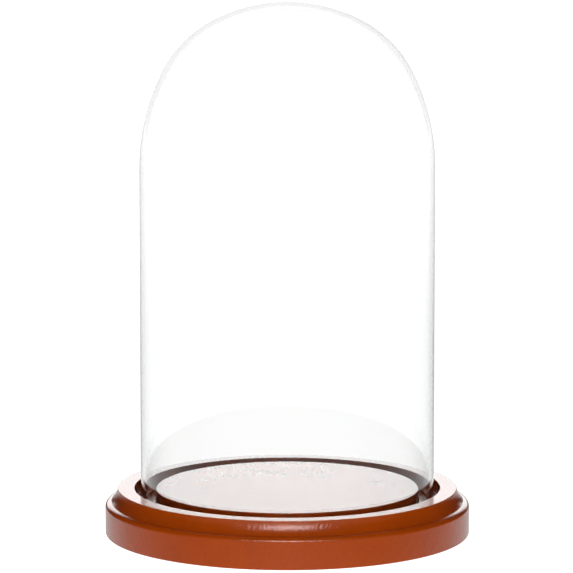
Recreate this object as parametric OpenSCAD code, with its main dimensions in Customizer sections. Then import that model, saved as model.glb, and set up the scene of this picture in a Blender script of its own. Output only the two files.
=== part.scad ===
// Glass display dome on a turned hardwood base.
// A clear, straight-sided glass dome stands in a ring channel cut into the top of the base,
// round a raised centre platform, and lifts straight off.
// Millimetres, +Z up. The origin is on the table, under the centre of the base.

/* [Glass dome] */
// Outside diameter of the straight glass wall
dome_d = 115; // [90:1:150]
// Height of the glass, from its mouth to the outside of the crown
dome_h = 195.5; // [120:0.5:300]
// Thickness of the glass, the same all over
glass_t = 1.6; // [1.2:0.1:3]
// Radius of the gentle curve that begins the shoulder, for each unit of the dome's radius
side_curve = 1.46; // [1.3:0.02:1.8]
// Radius of the flatter curve over the crown, for each unit of the dome's radius
crown_curve = 1.08; // [1:0.02:1.2]

/* [Channel for the glass] */
// Depth of the ring channel, and so the height of the centre platform
channel_depth = 5; // [3:0.5:7]
// Free width of the channel outside the glass
outer_clear = 2.5; // [1:0.25:6]
// Free width of the channel between the glass and the platform
inner_clear = 4.4; // [1:0.2:10]

/* [Wooden base] */
// Thickness of the wood, from underside to rim
base_h = 18; // [14:0.5:40]
// Width of the flat rim round the channel
rim_w = 6.5; // [4:0.5:20]
// How far the lower band stands out past the rim
band_out = 5; // [3.5:0.25:8]
// Height of the turned edge, from the top of the bead to the rim
edge_h = 5.5; // [4:0.5:6.5]
// Radius of the small round bead above the lower band
bead_r = 2; // [1.5:0.1:2.5]
// Radius of the hollow curve between the rim and the bead
cove_r = 10; // [8:0.5:20]

/* [Felt pads] */
// Diameter of each round felt pad
pad_d = 12; // [8:1:16]
// Thickness of each pad
pad_t = 1; // [0.8:0.1:2]
// How far the pads stand out of their recesses in the underside
pad_proud = 0.5; // [0.3:0.1:0.7]
// Distance from the outside of the lower band to the near edge of a pad
pad_inset = 7; // [4:0.5:16]

/* [Hidden] */

// Smoothness of the preview; the built faces are true curves
$fn = 128;
// Length that carries a cut out through an open face
through = 1;
// Gap under the mouth of the glass, which rests in the channel without an overlap
seat_gap = 0.1;
// Rounding of the base's bottom edge
foot_round = 0.6;
// How far the hollow runs down behind the top of the bead
valley_dip = 0.3;
// Clearance round a pad in its recess
pad_clear = 0.2;
// Angles from level where the side curve meets the shoulder, and the shoulder meets the crown
side_angle = 26;
crown_angle = 61;
// Extra radius on the shoulder, so that the three curves cross cleanly where they join
curve_lap = 0.002;

// The glass: a straight wall, then three curves that run on smoothly into each other
dome_r = dome_d / 2;
side_r = side_curve * dome_r;
crown_r = crown_curve * dome_r;
shoulder_r = (dome_r - side_r * (1 - cos(side_angle)) - crown_r * cos(crown_angle))
    / (cos(side_angle) - cos(crown_angle));
side_x = dome_r - side_r;
shoulder_x = side_x + (side_r - shoulder_r) * cos(side_angle);
shoulder_z = (side_r - shoulder_r) * sin(side_angle);
crown_z = shoulder_z + (shoulder_r - crown_r) * sin(crown_angle);
wall_h = dome_h - crown_z - crown_r;

// The base, which takes its width from the glass
channel_r = dome_r + outer_clear;
platform_r = dome_r - glass_t - inner_clear;
rim_r = channel_r + rim_w;
base_r = rim_r + band_out;
bead_x = base_r - bead_r;
bead_z = base_h - edge_h - bead_r;
channel_z = base_h - channel_depth;

// The hollow passes through the rim's edge and a point low down behind the bead
cove_run = bead_x - rim_r;
cove_drop = edge_h + valley_dip;
cove_chord = norm([cove_run, cove_drop]);
cove_reach = sqrt(pow(cove_r, 2) - pow(cove_chord / 2, 2));
cove_x = rim_r + cove_run / 2 + cove_reach * cove_drop / cove_chord;
cove_z = base_h - cove_drop / 2 + cove_reach * cove_run / cove_chord;

pad_ring_r = base_r - pad_inset - pad_d / 2;
pad_angles = [45, 135, 225, 315];

// Everything inside the glass surface when that is moved in by inset; z = 0 is the top of the wall
module dome_outline(inset) {
    translate([0, -wall_h]) square([dome_r - inset, wall_h]);
    intersection() {
        translate([side_x, 0]) circle(side_r - inset);
        square([dome_r, (side_r - inset) * sin(side_angle)]);
    }
    intersection() {
        translate([shoulder_x, shoulder_z]) circle(shoulder_r + curve_lap - inset);
        square([dome_r, crown_z + crown_r]);
    }
    intersection() {
        translate([0, crown_z]) circle(crown_r - inset);
        translate([0, shoulder_z + (shoulder_r - inset) * sin(crown_angle)]) square(dome_r);
    }
}

module glass_section() {
    difference() {
        dome_outline(0);
        dome_outline(glass_t);
        translate([0, -wall_h - through]) square([dome_r + through, through + glass_t / 2]);
    }
    // Fire-polished rim
    translate([dome_r - glass_t / 2, glass_t / 2 - wall_h]) circle(glass_t / 2);
}

module wood_section() {
    difference() {
        union() {
            difference() {
                translate([0, bead_z]) square([bead_x, base_h - bead_z]);
                translate([cove_x, cove_z]) circle(cove_r);
            }
            translate([bead_x, bead_z]) circle(bead_r);
            translate([0, foot_round]) square([base_r, bead_z - foot_round]);
            square([base_r - foot_round, bead_z]);
            translate([base_r - foot_round, foot_round]) circle(foot_round);
        }
        translate([platform_r, channel_z])
            square([channel_r - platform_r, channel_depth + through]);
    }
}

module wood_base() {
    color("#8f4a2c")
    translate([0, 0, pad_proud])
    difference() {
        rotate_extrude() wood_section();
        for (angle = pad_angles)
            rotate([0, 0, angle]) translate([pad_ring_r, 0, -through])
                cylinder(d = pad_d + 2 * pad_clear, h = through + pad_t - pad_proud);
    }
}

module glass_dome() {
    color("#dfe9e6")
    translate([0, 0, pad_proud + channel_z + seat_gap + wall_h])
        rotate_extrude() glass_section();
}

module felt_pad(place) {
    color("#3b2f28")
    rotate([0, 0, pad_angles[place - 1]]) translate([pad_ring_r, 0, 0])
        cylinder(d = pad_d, h = pad_t);
}

wood_base();
glass_dome();
felt_pad(1);  // felt_pad_1
felt_pad(2);  // felt_pad_2
felt_pad(3);  // felt_pad_3
felt_pad(4);  // felt_pad_4
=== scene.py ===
import math

import bmesh
import bpy
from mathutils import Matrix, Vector, noise


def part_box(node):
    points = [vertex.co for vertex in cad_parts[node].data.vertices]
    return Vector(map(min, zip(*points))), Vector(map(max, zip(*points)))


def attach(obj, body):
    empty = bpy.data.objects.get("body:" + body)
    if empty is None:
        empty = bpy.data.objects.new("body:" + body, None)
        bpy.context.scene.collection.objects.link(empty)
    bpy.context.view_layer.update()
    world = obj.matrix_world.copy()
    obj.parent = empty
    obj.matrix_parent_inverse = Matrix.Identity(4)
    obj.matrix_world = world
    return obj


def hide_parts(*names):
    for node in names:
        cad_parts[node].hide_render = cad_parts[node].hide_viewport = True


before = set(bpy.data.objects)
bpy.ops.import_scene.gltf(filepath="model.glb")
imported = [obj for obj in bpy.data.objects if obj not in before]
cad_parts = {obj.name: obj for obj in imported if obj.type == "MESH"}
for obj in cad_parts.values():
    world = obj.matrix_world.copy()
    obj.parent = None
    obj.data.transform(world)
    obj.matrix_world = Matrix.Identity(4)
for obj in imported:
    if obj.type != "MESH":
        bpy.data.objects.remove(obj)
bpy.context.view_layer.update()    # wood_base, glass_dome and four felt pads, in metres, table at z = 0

mm = 0.001
scene = bpy.context.scene


def hexToLinear(code):
    # "#rrggbb" as a paint chart gives it, to the linear colour that shaders use
    values = [int(code[i:i + 2], 16) / 255 for i in (1, 3, 5)]
    return [v / 12.92 if v <= 0.04045 else ((v + 0.055) / 1.055) ** 2.4 for v in values] + [1.0]


def addNode(tree, kind, settings=None, links=None):
    # one node: settings are its properties or its sockets' values, links are what feeds its sockets
    node = tree.nodes.new(kind)
    for name, value in (settings or {}).items():
        if name == "stops":    # a ramp's (place, colour) pairs
            ramp = node.color_ramp.elements
            while len(ramp) < len(value):
                ramp.new(0.5)
            for stop, (place, colour) in zip(ramp, value):
                stop.position = place
                stop.color = colour if hasattr(colour, "__len__") else (colour, colour, colour, 1)
        elif isinstance(name, int) or name in node.inputs:
            node.inputs[name].default_value = value
        else:
            setattr(node, name, value)
    for name, source in (links or {}).items():
        tree.links.new(source, node.inputs[name])
    return node


def newMaterial(name):
    material = bpy.data.materials.new(name)
    material.use_nodes = True
    material.node_tree.nodes.clear()
    return material, material.node_tree


cameraFit = {
    "distance": 1.652,    # m, from the lens to the middle of the wooden rim
    "height": 11.41,      # degrees that the lens looks down on the rim
    "aim": 0.098,         # m above the table, the point on the axis that the lens looks at
    "sideStep": -0.0003,  # m, the lens a little left of the axis
    "lens": 263.6,        # mm, on a 36 mm wide frame
}


def placeCamera():
    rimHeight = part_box("wood_base")[1].z
    slope = math.radians(cameraFit["height"])
    data = bpy.data.cameras.new("productCamera")
    data.lens = cameraFit["lens"]
    data.sensor_width = 36
    data.clip_start = 0.05
    camera = bpy.data.objects.new("productCamera", data)
    scene.collection.objects.link(camera)
    camera.location = (cameraFit["sideStep"],
                       -cameraFit["distance"] * math.cos(slope),
                       rimHeight + cameraFit["distance"] * math.sin(slope))
    towards = Vector((cameraFit["sideStep"], 0, cameraFit["aim"])) - camera.location
    camera.rotation_euler = towards.to_track_quat("-Z", "Y").to_euler()
    scene.camera = camera
    print("camera placed")


def arcPoints(centre, radius, start, end, count):
    # points on a circle in the (radius, height) section, angles in degrees
    angles = [math.radians(start + (end - start) * i / count) for i in range(count + 1)]
    return [(centre[0] + radius * math.cos(a), centre[1] + radius * math.sin(a)) for a in angles]


def walkBack(points, index, step, reach):
    # goes along the section from a corner and returns the point at that reach, and the last index passed
    here = Vector(points[index])
    left = reach
    while 0 <= index + step < len(points):
        there = Vector(points[index + step])
        length = (there - here).length
        if length > left:
            return here + (there - here) * left / length, index
        left -= length
        here = there
        index += step
    return here, index


def easeCorners(points, corners, steps=7, guard=1.35):
    # rounds the listed corners of a section; corners holds index: (reach in mm, tag), and a guard
    # point each side, at that many reaches, keeps the neighbouring faces flat
    out = []
    skipTo = 0
    for i, point in enumerate(points):
        if i not in corners:
            if i >= skipTo:
                out.append((point[0], point[1], "", 0.0))
            continue
        reach, tag = corners[i]
        before = walkBack(points, i, -1, reach)[0]
        after = walkBack(points, i, 1, reach)[0]
        guardBefore, firstPassed = walkBack(points, i, -1, reach * guard)
        guardAfter, lastPassed = walkBack(points, i, 1, reach * guard)
        swallowed = i - firstPassed    # points that the rounding has used up
        del out[len(out) - swallowed:]
        out.append((guardBefore.x, guardBefore.y, tag, 0.0))
        corner = Vector(point)
        for k in range(steps + 1):
            t = k / steps
            p = before * (1 - t) ** 2 + corner * 2 * t * (1 - t) + after * t ** 2
            out.append((p.x, p.y, tag, math.sin(math.pi * t)))
        out.append((guardAfter.x, guardAfter.y, tag, 0.0))
        skipTo = lastPassed + 1
    return out


def lathe(name, section, segments, tags=()):
    # turns a section of (radius, height, tag, weight) about the axis; a tag's weights go to an attribute
    mesh = bpy.data.meshes.new(name)
    verts = []
    faces = []
    weights = {tag: [] for tag in tags}
    rings = []
    for radius, height, tag, weight in section:
        count = 1 if radius < 1e-6 else segments
        rings.append((len(verts), count))
        for k in range(count):
            a = 2 * math.pi * k / segments
            verts.append((radius * mm * math.cos(a), radius * mm * math.sin(a), height * mm))
            for known in tags:
                weights[known].append(weight if tag == known else 0.0)
    for (startA, countA), (startB, countB) in zip(rings, rings[1:]):
        for k in range(segments):
            n = (k + 1) % segments
            if countA == 1:
                faces.append((startA, startB + k, startB + n))
            elif countB == 1:
                faces.append((startA + k, startB, startA + n))
            else:
                faces.append((startA + k, startB + k, startB + n, startA + n))
    mesh.from_pydata(verts, [], faces)
    for tag in tags:
        layer = mesh.attributes.new(tag, "FLOAT", "POINT")
        layer.data.foreach_set("value", weights[tag])
    mesh.shade_smooth()
    mesh.update()
    piece = bpy.data.objects.new(name, mesh)
    scene.collection.objects.link(piece)
    return piece


woodBaseLook = {
    "rimRadius": 66.5,       # mm, where the flat rim ends and the hollow begins
    "channelRadius": 60.0,   # mm, outer wall of the ring channel
    "platformRadius": 51.5,  # mm, the raised centre
    "channelDepth": 5.0,     # mm
    "edgeHeight": 5.5,       # mm, top of the bead to the rim
    "beadRadius": 2.0,       # mm
    "coveRadius": 10.0,      # mm
    "valleyDip": 0.3,        # mm, how far the hollow runs down behind the bead
    "footRound": 0.6,        # mm, bottom edge
    "arris": 0.35,           # mm, sanded edges of the rim and platform
    "toolCorner": 0.6,       # mm, the cutter's own corner on the channel floor
    "segments": 320,         # round the axis
    "platformRings": 9,      # steps along the section: platform, hollow, bead, foot
    "coveSteps": 24,
    "beadSteps": 20,
    "footSteps": 8,
    "padHoleSegments": 64,
    "stain": "#bc4b03",      # the cherry-red stain where it lies evenly
    "stainDeep": "#a63e02",  # where the wood has drunk more of it
    "stainThin": "#cc6420",  # sanded through a little along the arrises
    "cornerShadeColour": "#c4b4a8",  # painted shade: multiplies the colour down in the inner corners of the channel and in the valley behind the bead
    "wander": (60.0, 4.0),   # mm, slow wander of the grain: over what length, and how far
    "ringSpacing": 2.6,      # mm, growth rings
    "ringShape": [(0.0, 0.0), (0.6, 0.4), (0.85, 1.0), (1.0, 0.0)],    # from early wood to late wood
    "heartSide": 22.0,       # mm, how far aside of the axis the tree's heart line runs
    "heartDepth": 70.0,      # mm, how far under the table
    "fibre": (0.7, 15.0),    # mm, across and along the grain; real ones are finer and would not show
    "ray": (0.9, 5.0, 12.0),    # mm, the rays' upright sheets: across, along the grain, heart to bark
    "mottle": 0.9,           # mm
    "cloud": 17.0,           # mm, uneven take-up of the stain
    # how much each pattern deepens the stain, and the sums that are least and most stained
    "deepens": [("clouds", 0.9), ("fibres", 0.4), ("mottle", 0.45), ("rays", 0.25), ("rings", 0.08)],
    "deepRange": (0.5, 1.6),
    "rubbed": 0.6,           # share of the thin stain on an arris
    "shadedCorners": 0.4,           # share of the painted shade in an inner corner
    "lacquerRoughness": 0.17,
    "roughnessSpread": 0.03,    # duller over open fibres, glossier between them
    "relief": 0.15,          # mm, how far the end grain telegraphs through the lacquer
    "fibreRelief": 0.5,      # share of the fibres in it, beside the rays
    "sideRelief": 0.05,      # share of the relief where the grain lies along the surface
    "endGrain": (0.1, 0.6),    # how far a face turns to the grain, from no end grain to all of it
}


def woodSection():
    look = woodBaseLook
    low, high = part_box("wood_base")
    top = (high.z - low.z) / mm
    base = high.x / mm
    rim = look["rimRadius"]
    channel = look["channelRadius"]
    platform = look["platformRadius"]
    floor = top - look["channelDepth"]
    bead = (base - look["beadRadius"], top - look["edgeHeight"] - look["beadRadius"])

    # the hollow passes through the rim's edge and a point low behind the bead
    run = bead[0] - rim
    drop = look["edgeHeight"] + look["valleyDip"]
    chord = math.hypot(run, drop)
    reach = math.sqrt(look["coveRadius"] ** 2 - chord ** 2 / 4)
    cove = (rim + run / 2 + reach * drop / chord, top - drop / 2 + reach * run / chord)

    # where the hollow meets the bead
    between = Vector(bead) - Vector(cove)
    gap = between.length
    along = (look["coveRadius"] ** 2 - look["beadRadius"] ** 2 + gap ** 2) / (2 * gap)
    across = math.sqrt(look["coveRadius"] ** 2 - along ** 2)
    unit = between / gap
    sideways = Vector((-unit.y, unit.x)) * across
    meets = [Vector(cove) + unit * along + sideways * side for side in (1, -1)]
    valley = min(meets, key=lambda p: p.x)

    def angleOf(centre, point):
        return math.degrees(math.atan2(point[1] - centre[1], point[0] - centre[0]))

    coveStart = angleOf(cove, (rim, top)) % 360
    coveEnd = angleOf(cove, valley) % 360
    beadStart = angleOf(bead, valley)

    rings = look["platformRings"]
    points = [(platform * k / rings, top) for k in range(rings)]
    corners = {len(points): (look["arris"], "arris")}
    points.append((platform, top))
    points.append((platform, (top + floor) / 2))
    corners[len(points)] = (look["toolCorner"], "hollow")
    points.append((platform, floor))
    points.append(((platform + channel) / 2, floor))
    corners[len(points)] = (look["toolCorner"], "hollow")
    points.append((channel, floor))
    points.append((channel, (top + floor) / 2))
    corners[len(points)] = (look["arris"], "arris")
    points.append((channel, top))
    points.append(((channel + rim) / 2, top))
    corners[len(points)] = (look["arris"], "arris")
    points += arcPoints(cove, look["coveRadius"], coveStart, coveEnd, look["coveSteps"])
    corners[len(points) - 1] = (look["arris"], "hollow")
    points += arcPoints(bead, look["beadRadius"], beadStart, 0, look["beadSteps"])[1:]
    foot = look["footRound"]
    points.append((base, (bead[1] + foot) / 2))
    points += arcPoints((base - foot, foot), foot, 0, -90, look["footSteps"])
    section = easeCorners(points, corners)
    return [(r, z + low.z / mm, tag, weight) for r, z, tag, weight in section]


def buildWoodBase():
    section = woodSection()
    piece = lathe("woodBase", section, woodBaseLook["segments"], tags=("arris", "hollow"))
    # underside: a flat disc with the four pad recesses sunk into it
    edit = bmesh.new()
    edit.from_mesh(piece.data)
    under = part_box("wood_base")[0].z
    rimEdges = [e for e in edit.edges if e.is_boundary]
    holeEdges = []
    walls = []
    for number in range(1, 5):
        low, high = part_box(f"felt_pad_{number}")
        middle = (low + high) / 2
        radius = (high.x - low.x) / 2 + feltPadLook["clearance"] * mm
        mouth = []
        roof = []
        count = woodBaseLook["padHoleSegments"]
        for k in range(count):
            a = 2 * math.pi * k / count
            x = middle.x + radius * math.cos(a)
            y = middle.y + radius * math.sin(a)
            mouth.append(edit.verts.new((x, y, under)))
            roof.append(edit.verts.new((x, y, high.z)))
        for k in range(count):
            n = (k + 1) % count
            holeEdges.append(edit.edges.new((mouth[k], mouth[n])))
            walls.append((mouth[k], mouth[n], roof[n], roof[k]))
        walls.append(tuple(roof))
    filled = bmesh.ops.triangle_fill(edit, edges=rimEdges + holeEdges, normal=(0, 0, -1), use_beauty=True)
    flat = [g for g in filled["geom"] if isinstance(g, bmesh.types.BMFace)]
    flat += [edit.faces.new(w) for w in walls]
    bmesh.ops.recalc_face_normals(edit, faces=edit.faces)
    for face in flat:
        face.smooth = False
        for e in face.edges:
            e.smooth = False
    edit.to_mesh(piece.data)
    edit.free()
    piece.data.update()
    piece.data.materials.append(stainedBeech())
    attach(piece, "base")
    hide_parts("wood_base")
    print("wooden base turned:", len(piece.data.polygons), "faces")


def beechFigure(tree, place):
    # the tree's own patterns, each as one output: rings, fibres, rays and a fine mottle, and the clouding
    look = woodBaseLook
    length, reach = look["wander"]
    wander = addNode(tree, "ShaderNodeTexNoise", {"Scale": 1 / (length * mm), "Detail": 2.0},
                     {"Vector": place})
    wandered = addNode(tree, "ShaderNodeVectorMath",
                       {"operation": "MULTIPLY_ADD", 1: (reach * mm, reach * mm, reach * mm)},
                       {0: wander.outputs["Color"], 2: place})

    # the tree's heart line runs along Y, under the board: distance from it, and way round it
    parts = addNode(tree, "ShaderNodeSeparateXYZ", links={0: wandered.outputs[0]})
    offX = addNode(tree, "ShaderNodeMath", {"operation": "ADD", 1: look["heartSide"] * mm},
                   {0: parts.outputs["X"]})
    offZ = addNode(tree, "ShaderNodeMath", {"operation": "ADD", 1: look["heartDepth"] * mm},
                   {0: parts.outputs["Z"]})
    squareX = addNode(tree, "ShaderNodeMath", {"operation": "MULTIPLY"},
                      {0: offX.outputs[0], 1: offX.outputs[0]})
    squares = addNode(tree, "ShaderNodeMath", {"operation": "MULTIPLY_ADD"},
                      {0: offZ.outputs[0], 1: offZ.outputs[0], 2: squareX.outputs[0]})
    fromHeart = addNode(tree, "ShaderNodeMath", {"operation": "SQRT"}, {0: squares.outputs[0]})
    roundHeart = addNode(tree, "ShaderNodeMath", {"operation": "ARCTAN2"},
                         {0: offX.outputs[0], 1: offZ.outputs[0]})
    arc = addNode(tree, "ShaderNodeMath", {"operation": "MULTIPLY", 1: look["heartDepth"] * mm},
                  {0: roundHeart.outputs[0]})
    treePlace = addNode(tree, "ShaderNodeCombineXYZ",
                        links={0: arc.outputs[0], 1: parts.outputs["Y"], 2: fromHeart.outputs[0]})

    ringCount = addNode(tree, "ShaderNodeMath", {"operation": "DIVIDE", 1: look["ringSpacing"] * mm},
                        {0: fromHeart.outputs[0]})
    ringShare = addNode(tree, "ShaderNodeMath", {"operation": "FRACT"}, {0: ringCount.outputs[0]})
    rings = addNode(tree, "ShaderNodeValToRGB", {"stops": look["ringShape"]}, {0: ringShare.outputs[0]})

    across, along = look["fibre"]
    fibrePlace = addNode(tree, "ShaderNodeMapping", {"Scale": (1.0, across / along, 1.0)},
                         {"Vector": treePlace.outputs[0]})
    fibres = addNode(tree, "ShaderNodeTexNoise",
                     {"Scale": 1 / (across * mm), "Detail": 3.0, "Roughness": 0.6},
                     {"Vector": fibrePlace.outputs[0]})
    across, along, tall = look["ray"]
    rayPlace = addNode(tree, "ShaderNodeMapping", {"Scale": (1.0, across / along, across / tall)},
                       {"Vector": treePlace.outputs[0]})
    rays = addNode(tree, "ShaderNodeTexNoise",
                   {"Scale": 1 / (across * mm), "Detail": 2.0, "Roughness": 0.6},
                   {"Vector": rayPlace.outputs[0]})
    mottle = addNode(tree, "ShaderNodeTexNoise", {"Scale": 1 / (look["mottle"] * mm), "Detail": 3.0},
                     {"Vector": place})
    clouds = addNode(tree, "ShaderNodeTexNoise", {"Scale": 1 / (look["cloud"] * mm), "Detail": 4.0},
                     {"Vector": place})
    return {"rings": rings.outputs["Color"], "fibres": fibres.outputs[0], "rays": rays.outputs[0],
            "mottle": mottle.outputs[0], "clouds": clouds.outputs[0]}


def stainedBeech():
    # Beech, turned, sanded, stained cherry red and sprayed with satin lacquer: an even deep red-brown
    # under a soft sheen, faintly clouded, whose light breaks into fine streaks over the end grain
    look = woodBaseLook
    material, tree = newMaterial("stainedBeechSatinLacquer")
    where = addNode(tree, "ShaderNodeTexCoord")
    figure = beechFigure(tree, where.outputs["Object"])

    # how much of the deep stain shows
    deep = None
    for pattern, share in look["deepens"]:
        part = addNode(tree, "ShaderNodeMath", {"operation": "MULTIPLY_ADD", 1: share, 2: 0.0},
                       {0: figure[pattern]})
        if deep:
            tree.links.new(deep, part.inputs[2])
        deep = part.outputs[0]
    least, most = look["deepRange"]
    depth = addNode(tree, "ShaderNodeMapRange", {"From Min": least, "From Max": most}, {"Value": deep})
    stained = addNode(tree, "ShaderNodeMix",
                      {"data_type": "RGBA", 6: hexToLinear(look["stain"]), 7: hexToLinear(look["stainDeep"])},
                      {0: depth.outputs[0]})
    # stain rubbed thinner on the arrises, and painted shade darkening the inner corners
    arris = addNode(tree, "ShaderNodeAttribute", {"attribute_name": "arris"})
    rub = addNode(tree, "ShaderNodeMath", {"operation": "MULTIPLY", 1: look["rubbed"]},
                  {0: arris.outputs["Fac"]})
    rubbed = addNode(tree, "ShaderNodeMix", {"data_type": "RGBA", 7: hexToLinear(look["stainThin"])},
                     {0: rub.outputs[0], 6: stained.outputs[2]})
    # painted shade: the colour is darkened in the inner corners and the valley
    hollow = addNode(tree, "ShaderNodeAttribute", {"attribute_name": "hollow"})
    cornerShadeWeight = addNode(tree, "ShaderNodeMath", {"operation": "MULTIPLY", 1: look["shadedCorners"]},
                   {0: hollow.outputs["Fac"]})
    shadedCorners = addNode(tree, "ShaderNodeMix",
                     {"data_type": "RGBA", "blend_type": "MULTIPLY", 7: hexToLinear(look["cornerShadeColour"])},
                     {0: cornerShadeWeight.outputs[0], 6: rubbed.outputs[2]})

    # the lacquer dries a little duller over the open fibres, whose noise runs from about 0.3 to 0.7
    middle = look["lacquerRoughness"]
    spread = look["roughnessSpread"]
    sheen = addNode(tree, "ShaderNodeMapRange",
                    {"From Min": 0.3, "From Max": 0.7, "To Min": middle - spread, "To Max": middle + spread},
                    {"Value": figure["fibres"]})
    # rays and fibres stand up through the film most where the turner cut across the grain
    facing = addNode(tree, "ShaderNodeSeparateXYZ", links={0: where.outputs["Normal"]})
    turned = addNode(tree, "ShaderNodeMath", {"operation": "ABSOLUTE"}, {0: facing.outputs["Y"]})
    least, most = look["endGrain"]
    strength = addNode(tree, "ShaderNodeMapRange",
                       {"From Min": least, "From Max": most, "To Min": look["sideRelief"]},
                       {"Value": turned.outputs[0]})
    relief = addNode(tree, "ShaderNodeMath", {"operation": "MULTIPLY_ADD", 1: look["fibreRelief"]},
                     {0: figure["fibres"], 2: figure["rays"]})
    bump = addNode(tree, "ShaderNodeBump", {"Distance": look["relief"] * mm},
                   {"Height": relief.outputs[0], "Strength": strength.outputs[0]})
    wood = addNode(tree, "ShaderNodeBsdfPrincipled", {"IOR": 1.5},
                   {"Base Color": shadedCorners.outputs[2], "Roughness": sheen.outputs[0],
                    "Normal": bump.outputs[0]})
    addNode(tree, "ShaderNodeOutputMaterial", links={"Surface": wood.outputs[0]})
    return material


glassDomeLook = {
    "thickness": 1.6,      # mm
    "sideCurve": 1.46,     # radius of the curve that begins the shoulder, per unit of the dome's radius
    "crownCurve": 1.08,    # radius over the crown, per unit of the dome's radius
    "sideAngle": 26,       # degrees from level where the side curve meets the shoulder
    "crownAngle": 61,      # degrees where the shoulder meets the crown
    "arcSteps": 40,        # along each curve of the section
    "wallSteps": 48,       # down the straight wall
    "lipSteps": 14,        # round the fire-polished lip
    "segments": 288,       # round the axis
    "waviness": 0.04,      # mm, how far the blown wall wanders inside
    "waves": (28, 28, 9),    # waves to the metre, across and up the glass
    "calmFoot": 6.0,       # mm above the mouth, over which the wandering dies away
    "clear": "#ffffff",    # the surface takes no colour
    "tint": "#d8ece2",     # the cast that builds up along the glass, and how fast, per m
    "density": 20.0,
}


def glassSection():
    look = glassDomeLook
    low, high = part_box("glass_dome")
    outer = high.x / mm
    wall = look["thickness"]
    side = look["sideCurve"] * outer
    crown = look["crownCurve"] * outer
    sideCos = math.cos(math.radians(look["sideAngle"]))
    sideSin = math.sin(math.radians(look["sideAngle"]))
    crownCos = math.cos(math.radians(look["crownAngle"]))
    crownSin = math.sin(math.radians(look["crownAngle"]))
    shoulder = (outer - side * (1 - sideCos) - crown * crownCos) / (sideCos - crownCos)
    sideMid = (outer - side, 0)
    shoulderMid = (sideMid[0] + (side - shoulder) * sideCos, (side - shoulder) * sideSin)
    crownMid = (0, shoulderMid[1] + (shoulder - crown) * crownSin)
    spring = high.z / mm - crownMid[1] - crown    # height where the straight wall ends
    foot = low.z / mm

    def skin(inset):
        # the outside of the glass, or its inside at that inset, from the crown down to the lip
        steps = look["arcSteps"]
        drops = look["wallSteps"]
        points = arcPoints(crownMid, crown - inset, 90, look["crownAngle"], steps)
        points += arcPoints(shoulderMid, shoulder - inset, look["crownAngle"], look["sideAngle"], steps)[1:]
        points += arcPoints(sideMid, side - inset, look["sideAngle"], 0, steps)[1:]
        points = [(max(r, 0.0), z + spring) for r, z in points]
        straight = spring - (foot + wall / 2)
        points += [(outer - inset, spring - straight * k / drops) for k in range(1, drops + 1)]
        return points

    lip = arcPoints((outer - wall / 2, foot + wall / 2), wall / 2, 0, -180, look["lipSteps"])[1:-1]
    outside = skin(0)
    section = outside + lip + skin(wall)[::-1]
    section[0] = (0.0, section[0][1])
    section[-1] = (0.0, section[-1][1])
    return [(r, z, "", 0.0) for r, z in section], len(outside) + len(lip)


def buildGlassDome():
    look = glassDomeLook
    section, firstInner = glassSection()
    piece = lathe("glassDome", section, look["segments"])
    mesh = piece.data
    # only the inside wanders: a blown wall is never quite even
    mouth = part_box("glass_dome")[0].z
    waves = Vector(look["waves"])
    startInner = 1 + (firstInner - 1) * look["segments"]    # the crown's outer point is a single one
    normals = [v.normal.copy() for v in mesh.vertices]
    for v, normal in zip(mesh.vertices, normals):
        if v.index < startInner:
            continue
        fade = min(1.0, (v.co.z - mouth) / (look["calmFoot"] * mm))
        v.co += normal * noise.noise(v.co * waves) * look["waviness"] * mm * fade
    mesh.update()
    mesh.materials.append(clearGlass())
    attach(piece, "dome")
    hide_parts("glass_dome")
    print("glass dome blown:", len(mesh.polygons), "faces")


def clearGlass():
    # Soda-lime glass, blown and fire-polished: clear, with a green cast only where it is seen edge on
    look = glassDomeLook
    material, tree = newMaterial("clearSodaLimeGlass")
    glass = addNode(tree, "ShaderNodeBsdfPrincipled",
                    {"Base Color": hexToLinear(look["clear"]), "Roughness": 0.0, "IOR": 1.5,
                     "Transmission Weight": 1.0})
    cast = addNode(tree, "ShaderNodeVolumeAbsorption",
                   {"Color": hexToLinear(look["tint"]), "Density": look["density"]})
    addNode(tree, "ShaderNodeOutputMaterial",
            links={"Surface": glass.outputs[0], "Volume": cast.outputs[0]})
    return material


feltPadLook = {
    "clearance": 0.2,      # mm, round the pad in its recess
    "edgeRound": 0.25,     # mm
    "edgeSteps": 4,
    "faceRings": 10,
    "segments": 72,
    "unevenness": 0.07,    # mm, how far the cut felt falls short of its outline
    "lumps": 900,          # to the metre
    "colour": "#3b2f28",
    "fibreColour": "#5a4a40",
    "tangle": 0.4,         # mm, drawn coarse: wool fibres are 0.03 mm across and would not show
    "relief": 0.08,        # mm, how far the fibres stand up
}


def buildFeltPads():
    look = feltPadLook
    material = pressedFelt()
    rings = look["faceRings"]
    steps = look["edgeSteps"]
    ease = look["edgeRound"]
    for number in range(1, 5):
        low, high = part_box(f"felt_pad_{number}")
        middle = (low + high) / 2
        radius = (high.x - low.x) / 2 / mm
        top = high.z / mm
        bottom = low.z / mm
        flat = radius - ease
        section = [(flat * k / rings, top) for k in range(rings)]
        section += arcPoints((flat, top - ease), ease, 90, 0, steps)
        section += arcPoints((flat, bottom + ease), ease, 0, -90, steps)
        section += [(flat * k / rings, bottom) for k in range(rings - 1, -1, -1)]
        piece = lathe(f"feltPad{number}", [(r, z, "", 0.0) for r, z in section], look["segments"])
        own = Vector((0, 0, number * 7))    # so that no two pads are alike
        normals = [v.normal.copy() for v in piece.data.vertices]
        for v, normal in zip(piece.data.vertices, normals):
            # cut edge and faces are a little uneven, always inwards
            v.co -= normal * abs(noise.noise(v.co * look["lumps"] + own)) * look["unevenness"] * mm
            v.co.x += middle.x
            v.co.y += middle.y
        piece.data.update()
        piece.data.materials.append(material)
        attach(piece, "base")
        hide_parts(f"felt_pad_{number}")
    print("felt pads cut")


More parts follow.
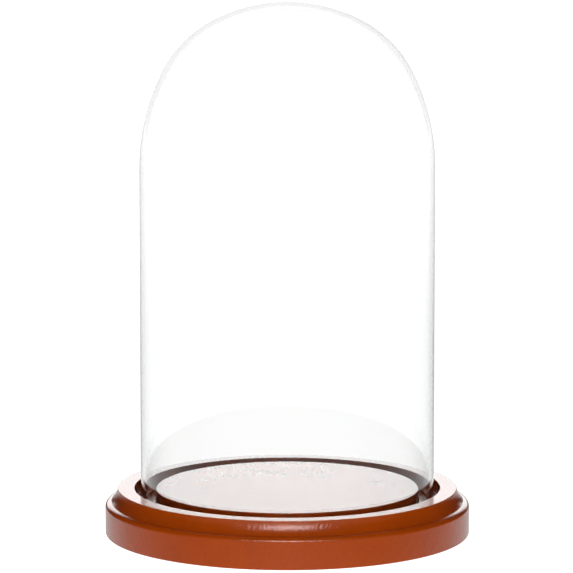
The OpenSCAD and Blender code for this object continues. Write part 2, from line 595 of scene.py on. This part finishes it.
def pressedFelt():
    # Pressed wool felt, die-cut: matted fibres with no weave, and a soft pale bloom at the edges
    look = feltPadLook
    material, tree = newMaterial("pressedWoolFelt")
    where = addNode(tree, "ShaderNodeTexCoord")
    tangle = addNode(tree, "ShaderNodeTexNoise",
                     {"Scale": 1 / (look["tangle"] * mm), "Detail": 4.0, "Roughness": 0.7, "Distortion": 1.5},
                     {"Vector": where.outputs["Object"]})
    colour = addNode(tree, "ShaderNodeMix",
                     {"data_type": "RGBA", 6: hexToLinear(look["colour"]),
                      7: hexToLinear(look["fibreColour"])},
                     {0: tangle.outputs[0]})
    bump = addNode(tree, "ShaderNodeBump", {"Strength": 1.0, "Distance": look["relief"] * mm},
                   {"Height": tangle.outputs[0]})
    felt = addNode(tree, "ShaderNodeBsdfPrincipled",
                   {"Roughness": 0.95, "Specular IOR Level": 0.2, "Sheen Weight": 0.35,
                    "Sheen Roughness": 0.5},
                   {"Base Color": colour.outputs[2], "Normal": bump.outputs[0]})
    addNode(tree, "ShaderNodeOutputMaterial", links={"Surface": felt.outputs[0]})
    return material


studioLook = {
    # Z is a view's rise, X its turn to the right and Y its turn away, each as a share of 1
    "backdrop": (1.10, 1.20),    # brightness of the plain white behind, low down and higher up
    "backdropZ": (-0.148, -0.105),    # where it passes from the one to the other
    "rimOfLight": (0.58, 0.42, 1.0),    # that white as the glass's edge bends it: left, right, above
    "rimX": (-0.02, 0.06),    # from left to right
    "rimZ": (-0.17, -0.05),    # from the sides to above
    "rimY": (-0.3, 0.2),    # from nothing, in front, to all of it, behind
    # broad panels: brightness, then (degrees, share) stops by height, then by angle from straight behind
    "mirrored": [
        (2.75, [(1, 0), (5, 1), (19, 1), (26, 0)], [(17, 1), (27, 0)]),    # bright wall behind, low down
        (0.36, [(-3, 0), (1, 1), (16, 1), (26, 0)], [(100, 0), (130, 1)]),    # pale room behind the camera
        (10.8, [(20, 0), (27, 1), (39, 1), (46, 0)], [(156, 0), (172, 1)]),    # softbox over the camera
        # the table
        (1.0, [(-8, 1), (-2, 0)],
         [(0, 0.62), (45, 0.92), (76, 0.75), (117, 0.32), (144, 0.36), (180, 0.6)]),
        (0.02, [(-1, 0), (1, 1)], [(0, 1), (180, 1)]),    # dim ceiling
    ],
    # the same room as matt surfaces take it, which see only broad light
    "matt": [
        (1.5, [(1, 0), (5, 1), (19, 1), (26, 0)], [(17, 1), (27, 0)]),
        (3.2, [(8, 0), (18, 1), (44, 1), (52, 0)], [(140, 0), (155, 1)]),
        (1.3, [(-35, 1), (-5, 0)], [(0, 1), (180, 1)]),
        (0.02, [(-1, 0), (1, 1)], [(0, 1), (180, 1)]),
    ],
    "light": "#ffffff",
    "floorHalf": 3.0,        # m
    "paper": (0.01, 0.01, 0.01, 1),    # what the floor takes of the room's light, next to its own
    # painted light: the floor's own brightness by distance from the axis, in m, brightest in a ring round the
    # base
    "paintedFloorLight": [(0.07, 1.32), (0.105, 1.14), (0.16, 1.10), (0.5, 1.10), (1.0, 1.20)],
}


def addPanels(tree, panels, height, aside):
    # adds up the panels' light as seen towards this height and angle from straight behind, in degrees
    total = None
    for brightness, byHeight, byAngle in panels:
        riseStops = [((degrees + 90) / 180, share) for degrees, share in byHeight]
        rise = addNode(tree, "ShaderNodeValToRGB", {"stops": riseStops}, {0: height})
        spreadStops = [(degrees / 180, share) for degrees, share in byAngle]
        spread = addNode(tree, "ShaderNodeValToRGB", {"stops": spreadStops}, {0: aside})
        shape = addNode(tree, "ShaderNodeMath", {"operation": "MULTIPLY"},
                        {0: rise.outputs["Color"], 1: spread.outputs["Color"]})
        panel = addNode(tree, "ShaderNodeMath", {"operation": "MULTIPLY_ADD", 1: brightness, 2: 0.0},
                        {0: shape.outputs[0]})
        if total:
            tree.links.new(total, panel.inputs[2])
        total = panel.outputs[0]
    return total


def bendBackdrop(tree, parts):
    # the backdrop as the thick edge of the glass shows it: dimmer at the sides, and gone from in front
    look = studioLook
    left, right, above = look["rimOfLight"]
    start, end = look["rimX"]
    level = addNode(tree, "ShaderNodeMapRange",
                    {"From Min": start, "From Max": end, "To Min": left, "To Max": right},
                    {"Value": parts.outputs["X"]})
    start, end = look["rimZ"]
    rim = addNode(tree, "ShaderNodeMapRange", {"From Min": start, "From Max": end, "To Max": above},
                  {"Value": parts.outputs["Z"], "To Min": level.outputs[0]})
    start, end = look["rimY"]
    behind = addNode(tree, "ShaderNodeMapRange", {"From Min": start, "From Max": end},
                     {"Value": parts.outputs["Y"]})
    bent = addNode(tree, "ShaderNodeMath", {"operation": "MULTIPLY"},
                   {0: rim.outputs[0], 1: behind.outputs[0]})
    return bent.outputs[0]


def lightRoom():
    look = studioLook
    world = bpy.data.worlds.new("softStudio")
    world.use_nodes = True
    scene.world = world
    tree = world.node_tree
    tree.nodes.clear()
    way = addNode(tree, "ShaderNodeTexCoord")
    parts = addNode(tree, "ShaderNodeSeparateXYZ", links={0: way.outputs["Generated"]})
    rise = addNode(tree, "ShaderNodeMath", {"operation": "ARCSINE"}, {0: parts.outputs["Z"]})
    turn = addNode(tree, "ShaderNodeMath", {"operation": "ARCTAN2"},
                   {0: parts.outputs["X"], 1: parts.outputs["Y"]})
    turnAway = addNode(tree, "ShaderNodeMath", {"operation": "ABSOLUTE"}, {0: turn.outputs[0]})
    quarter = math.pi / 2
    height = addNode(tree, "ShaderNodeMapRange", {"From Min": -quarter, "From Max": quarter},
                     {"Value": rise.outputs[0]})
    aside = addNode(tree, "ShaderNodeMapRange", {"From Max": math.pi}, {"Value": turnAway.outputs[0]})
    mirrored = addPanels(tree, look["mirrored"], height.outputs[0], aside.outputs[0])
    matt = addPanels(tree, look["matt"], height.outputs[0], aside.outputs[0])
    low, high = look["backdrop"]
    start, end = look["backdropZ"]
    backdrop = addNode(tree, "ShaderNodeMapRange",
                       {"From Min": start, "From Max": end, "To Min": low, "To Max": high},
                       {"Value": parts.outputs["Z"]})
    edgeLight = bendBackdrop(tree, parts)

    # what a ray has met decides which look of the room it sees; a later rule goes over an earlier one
    path = addNode(tree, "ShaderNodeLightPath").outputs
    offGlass = addNode(tree, "ShaderNodeMath", {"operation": "MULTIPLY"},
                       {0: path["Is Singular Ray"], 1: path["Is Reflection Ray"]})
    # a ray that has come back out of the first wall it went into has passed the surface twice at most
    oneWall = addNode(tree, "ShaderNodeMath", {"operation": "LESS_THAN", 1: 2.5},
                      {0: path["Transmission Depth"]})
    inWall = addNode(tree, "ShaderNodeMath", {"operation": "MULTIPLY"},
                     {0: path["Is Transmission Ray"], 1: oneWall.outputs[0]})
    direct = addNode(tree, "ShaderNodeMath", {"operation": "MAXIMUM"},
                     {0: path["Is Camera Ray"], 1: path["Is Transmission Ray"]})
    noMirror = addNode(tree, "ShaderNodeMath", {"operation": "LESS_THAN", 1: 0.5},
                       {0: path["Glossy Depth"]})
    straight = addNode(tree, "ShaderNodeMath", {"operation": "MULTIPLY"},
                       {0: direct.outputs[0], 1: noMirror.outputs[0]})
    offMatt = addNode(tree, "ShaderNodeMath", {"operation": "GREATER_THAN", 1: 0.5},
                      {0: path["Diffuse Depth"]})
    light = mirrored
    rules = [(offGlass, edgeLight), (inWall, edgeLight), (straight, backdrop.outputs[0]), (offMatt, matt)]
    for rule, seen in rules:
        choice = addNode(tree, "ShaderNodeMix", {"data_type": "FLOAT"},
                         {0: rule.outputs[0], 2: light, 3: seen})
        light = choice.outputs[0]
    glow = addNode(tree, "ShaderNodeBackground", {"Color": hexToLinear(look["light"])}, {"Strength": light})
    addNode(tree, "ShaderNodeOutputWorld", links={"Surface": glow.outputs[0]})
    world.cycles.sampling_method = "NONE"
    print("room lit")


def layFloor():
    # Paper sweep, dead matt, painted with its own light: a white that is brightest in a ring round the base,
    # and takes next to nothing of the room
    look = studioLook
    half = look["floorHalf"]
    corners = [(-half, -half, 0), (half, -half, 0), (half, half, 0), (-half, half, 0)]
    mesh = bpy.data.meshes.new("floor")
    mesh.from_pydata(corners, [], [(0, 1, 2, 3)])
    floor = bpy.data.objects.new("floor", mesh)
    scene.collection.objects.link(floor)
    material, tree = newMaterial("palePaperSweep")
    paper = addNode(tree, "ShaderNodeBsdfDiffuse", {"Color": look["paper"]})
    spot = addNode(tree, "ShaderNodeTexCoord")
    far = addNode(tree, "ShaderNodeVectorMath", {"operation": "LENGTH"}, {0: spot.outputs["Object"]})
    # painted light: the floor glows, brightest round the base
    gain = addNode(tree, "ShaderNodeValToRGB", {"stops": look["paintedFloorLight"]}, {0: far.outputs["Value"]})
    lit = addNode(tree, "ShaderNodeEmission", {"Color": hexToLinear(look["light"])},
                  {"Strength": gain.outputs["Color"]})
    sweep = addNode(tree, "ShaderNodeAddShader", links={0: paper.outputs[0], 1: lit.outputs[0]})
    # from below it lets the view through, so that the pads can be seen
    clear = addNode(tree, "ShaderNodeBsdfTransparent")
    side = addNode(tree, "ShaderNodeNewGeometry")
    shown = addNode(tree, "ShaderNodeMixShader",
                    links={0: side.outputs["Backfacing"], 1: sweep.outputs[0], 2: clear.outputs[0]})
    addNode(tree, "ShaderNodeOutputMaterial", links={"Surface": shown.outputs[0]})
    mesh.materials.append(material)
    floor.visible_diffuse = False
    floor.visible_glossy = False
    print("floor laid")


placeCamera()
buildWoodBase()
buildGlassDome()
buildFeltPads()
lightRoom()
layFloor()
scene.view_settings.view_transform = "Standard"
scene.view_settings.look = "None"
